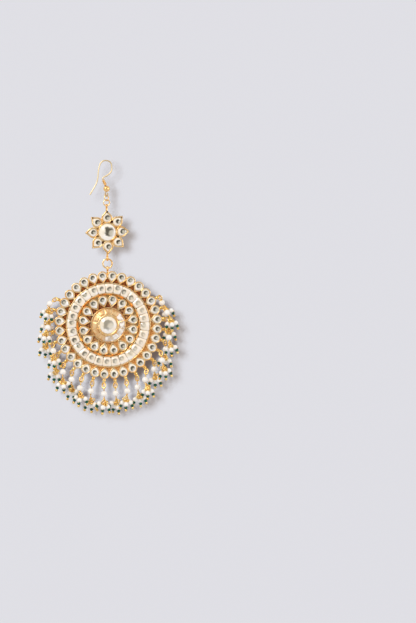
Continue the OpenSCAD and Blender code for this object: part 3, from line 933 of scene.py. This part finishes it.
def beadDrops(drops, gold, green):
    down = Vector((0, 0, -1))
    greenWidth, greenHeight = dropSetup["greenBead"]
    toGreen = dropSetup["smallPearl"] / 2 + greenHeight / 2 - dropSetup["greenSunk"]
    toSeed = greenHeight / 2 + dropSetup["goldSeed"] / 2 - dropSetup["seedSunk"]
    greenFollow, greenPlumb = dropSetup["greenFall"]
    seedFollow, seedPlumb = dropSetup["seedFall"]
    turnsAbove, turnsUnder = dropSetup["turns"]
    loopTilt, strayTilt = dropSetup["loopTilt"], dropSetup["strayTilt"]
    straySide, strayFront, strayDown, strayUp = dropSetup["strayPlace"]
    pegs = Vector((0, medallion["y"] - dropSetup["pegHeight"] * mm, medallion["z"]))
    hangFront = Vector((0, dropSetup["hangFront"] * mm, 0))
    greens, seeds, loops, wraps, caps, sleeves, hangers = [], [], [], [], [], [], []
    draw = random.Random(11)
    for drop in drops:
        hub = drop["hub"]
        for heading in drop["headings"]:
            pearl = hub + heading * dropSetup["strand"] * mm
            lean = Vector((heading.x, heading.y * dropSetup["plumb"], heading.z))
            fall = (lean * greenFollow + down * greenPlumb).normalized()
            greenAt = pearl + fall * toGreen * mm
            drip = (lean * seedFollow + down * seedPlumb).normalized()
            greens.append(along(fall, greenAt))
            seeds.append(along(drip, greenAt + drip * toSeed * mm))
            side = heading.cross(Vector((0, 1, 0))).normalized()
            tilt = Euler((draw.uniform(-loopTilt, loopTilt), draw.uniform(-loopTilt, loopTilt), 0))
            across = along(
                Vector((side.x * 0.5, -1, side.z * 0.5)), hub + heading * dropSetup["strandLoopAt"] * mm
            )
            loops.append(across @ tilt.to_matrix().to_4x4())
            caps.append(along(heading, hub + heading * dropSetup["capAt"] * mm))
        toPearl = (drop["pearl"] - drop["loop"]).normalized()
        toHub = (hub - drop["pearl"]).normalized()
        for turn in range(turnsAbove):
            away = dropSetup["turnsFrom"] + dropSetup["turnStep"] * turn
            wraps.append(along(toPearl, drop["pearl"] - toPearl * away * mm))
        for turn in range(turnsUnder):
            away = dropSetup["turnsFrom"] + dropSetup["turnStep"] * turn
            wraps.append(along(toHub, drop["pearl"] + toHub * away * mm))
        sleeves.append(along(drop["ray"], pegs + drop["ray"] * dropSetup["sleeveAt"] * mm))
        hung = drop["loop"] + toPearl * dropSetup["hangUnder"] * mm - hangFront
        facing = Vector((draw.uniform(-loopTilt, loopTilt), -1, 0))
        facing = (facing - toPearl * facing.dot(toPearl)).normalized()
        turned = Matrix((facing.cross(toPearl), toPearl, facing)).transposed().to_4x4()
        hangers.append(Matrix.Translation(hung) @ turned)
        for _ in range(dropSetup["strayLoops"]):
            axis = Vector((draw.uniform(-strayTilt, strayTilt), -1, draw.uniform(-strayTilt, strayTilt)))
            stray = Vector((
                draw.uniform(-straySide, straySide), strayFront, draw.uniform(strayDown, strayUp)
            ))
            loops.append(along(axis, hub + stray * mm))
        for away, axis in dropSetup["stemLoops"]:
            loops.append(along(Vector(axis), hub - toHub * away * mm))
    greenBead = seedModel(greenWidth, 16, 10, 0.2, greenHeight)
    finishPiece(copies(greenBead, greens), "greenBeads", green, "medallion", 60)
    goldSeed = seedModel(dropSetup["goldSeed"], 12, 8, 0.2)
    finishPiece(copies(goldSeed, seeds), "goldSeeds", gold, "medallion", 50)
    hubLoop = ringModel(*dropSetup["hubLoop"])
    finishPiece(copies(hubLoop, loops), "bunchLoops", gold, "medallion", 60)
    wrap = ringModel(*dropSetup["wireTurn"])
    finishPiece(copies(wrap, wraps), "wireWraps", gold, "medallion", 60)
    cap = seedModel(dropSetup["cap"], 12, 8, 0.1)
    finishPiece(copies(cap, caps), "strandCaps", gold, "medallion", 50)
    sleeveWidth, sleeveLength = dropSetup["sleeve"]
    sleeve = seedModel(sleeveWidth, 16, 12, 0.2, sleeveLength)
    finishPiece(copies(sleeve, sleeves), "pegSleeves", gold, "medallion", 50)
    hanger = stretch(ringModel(*dropSetup["hangLoop"]), 1, dropSetup["hangStretch"], 1)
    finishPiece(copies(hanger, hangers), "hangLoops", gold, "medallion", 60)


coilSetup = {
    "levels": 1,                  # of subdivision, which rounds its turns
    "thicker": 0.025,             # how far its skin is then moved out, in mm
}


def coilWinding(gold):
    piece = copyOfNode("wire_coil", "coilWinding")
    addModifier(piece, "SUBSURF", levels=coilSetup["levels"], render_levels=coilSetup["levels"])
    choose(piece)
    bpy.ops.object.mode_set(mode="EDIT")
    bpy.ops.mesh.select_all(action="SELECT")
    bpy.ops.transform.shrink_fatten(value=coilSetup["thicker"] * mm)
    bpy.ops.object.mode_set(mode="OBJECT")
    return finishPiece(piece, "coilWinding", gold, "ear_hook", 60, ["wire_coil"])


def paintNode(node, material):            # a CAD piece that stays, in a better finish
    piece = frame["nodes"][node]
    piece.data.materials.clear()
    piece.data.materials.append(material)


camera = makeCamera(cameraSetup)
room = makeRoom(roomSetup, camera)
makeDarkPanel(roomSetup["darkPanel"], camera)
makeSoftLights(room)
world = bpy.data.worlds.new("paleWorld")
world.use_nodes = True
world.node_tree.nodes["Background"].inputs["Color"].default_value = roomSetup["air"]
scene.world = world
scene.view_settings.view_transform = "Standard"
print("camera, room and lights made")

gold = wireGold()
paintNode("ear_wire", paleWireGold())
for node in ["wire_bead", "hook_link", "drop_link", "pendant_ring", "drop_wires"]:
    paintNode(node, gold)
pearlPaint = pearlLustre()
for node in ["cluster_pearls"] + ["drop_pearl_" + str(i + 1) for i in range(len(dropRows))]:
    paintNode(node, pearlPaint)
coilWinding(gold)
print("ear wire, links and pearls finished")

flowerGold = settingGold("flowerGold", flower)
paintNode("flower_setting", flowerGold)
flowerRims = joined([collets(petalCollets)] + plainRims(flowerMiddle, flower["roundRims"]))
finishPiece(flowerRims, "flowerRims", flowerGold, "flower", 60)
flowerBack(flowerGold)
petalPolki = polki("petalPolki", **polkiStones["petalPolki"])
for i in range(petalCollets["count"]):
    node = "petal_stone_" + str(i + 1)
    low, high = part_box(node)
    out = Vector(((low.x + high.x) / 2 - flower["x"], 0, (low.z + high.z) / 2 - flower["z"]))
    push = out.normalized() * flower["windowOut"] + Vector((flower["windowRight"], 0, 0))
    cutStones(node, "petalStone" + str(i + 1), petalPolki, "flower", 0.06, 20 + i, (push.x, push.z))
flowerPolki = polki("flowerPolki", **polkiStones["flowerPolki"])
cutStones("flower_stone", "flowerStone", flowerPolki, "flower", 0.08, 3)
print("flower finished")

medallionGold = settingGold("medallionGold", medallion)
paintNode("medallion_setting", medallionGold)
medallionRims = joined(
    [collets(outerCollets), collets(innerCollets)] + plainRims(medallionMiddle, medallion["roundRims"])
)
finishPiece(medallionRims, "medallionRims", medallionGold, "medallion", 60)
wellPaint = wellGold()
wellPyramids(medallion["outerWells"], "outerWellPyramids", wellPaint)
wellPyramids(medallion["innerWells"], "innerWellPyramids", wellPaint)
pearPolki = polki("pearPolki", **polkiStones["pearPolki"])
cutStones("outer_stones", "outerStones", pearPolki, "medallion", 0.05, 5)
cutStones("inner_stones", "innerStones", pearPolki, "medallion", 0.05, 6)
channelPolki = polki("channelPolki", **polkiStones["channelPolki"])
cutStones("channel_stones", "channelStones", channelPolki, "medallion", 0.05, 8)
cutStones("collar_stones", "collarStones", collarPaintedReflection(), "medallion", 0.03, 9)
centrePolki = polki("centrePolki", **polkiStones["centrePolki"])
cutStones("centre_stone", "centreStone", centrePolki, "medallion", 0.08, 4)
print("medallion finished")

beadDrops(dropPlaces(), seedGold(), greenGlass())
print("bead drops finished")

chooseShadows()
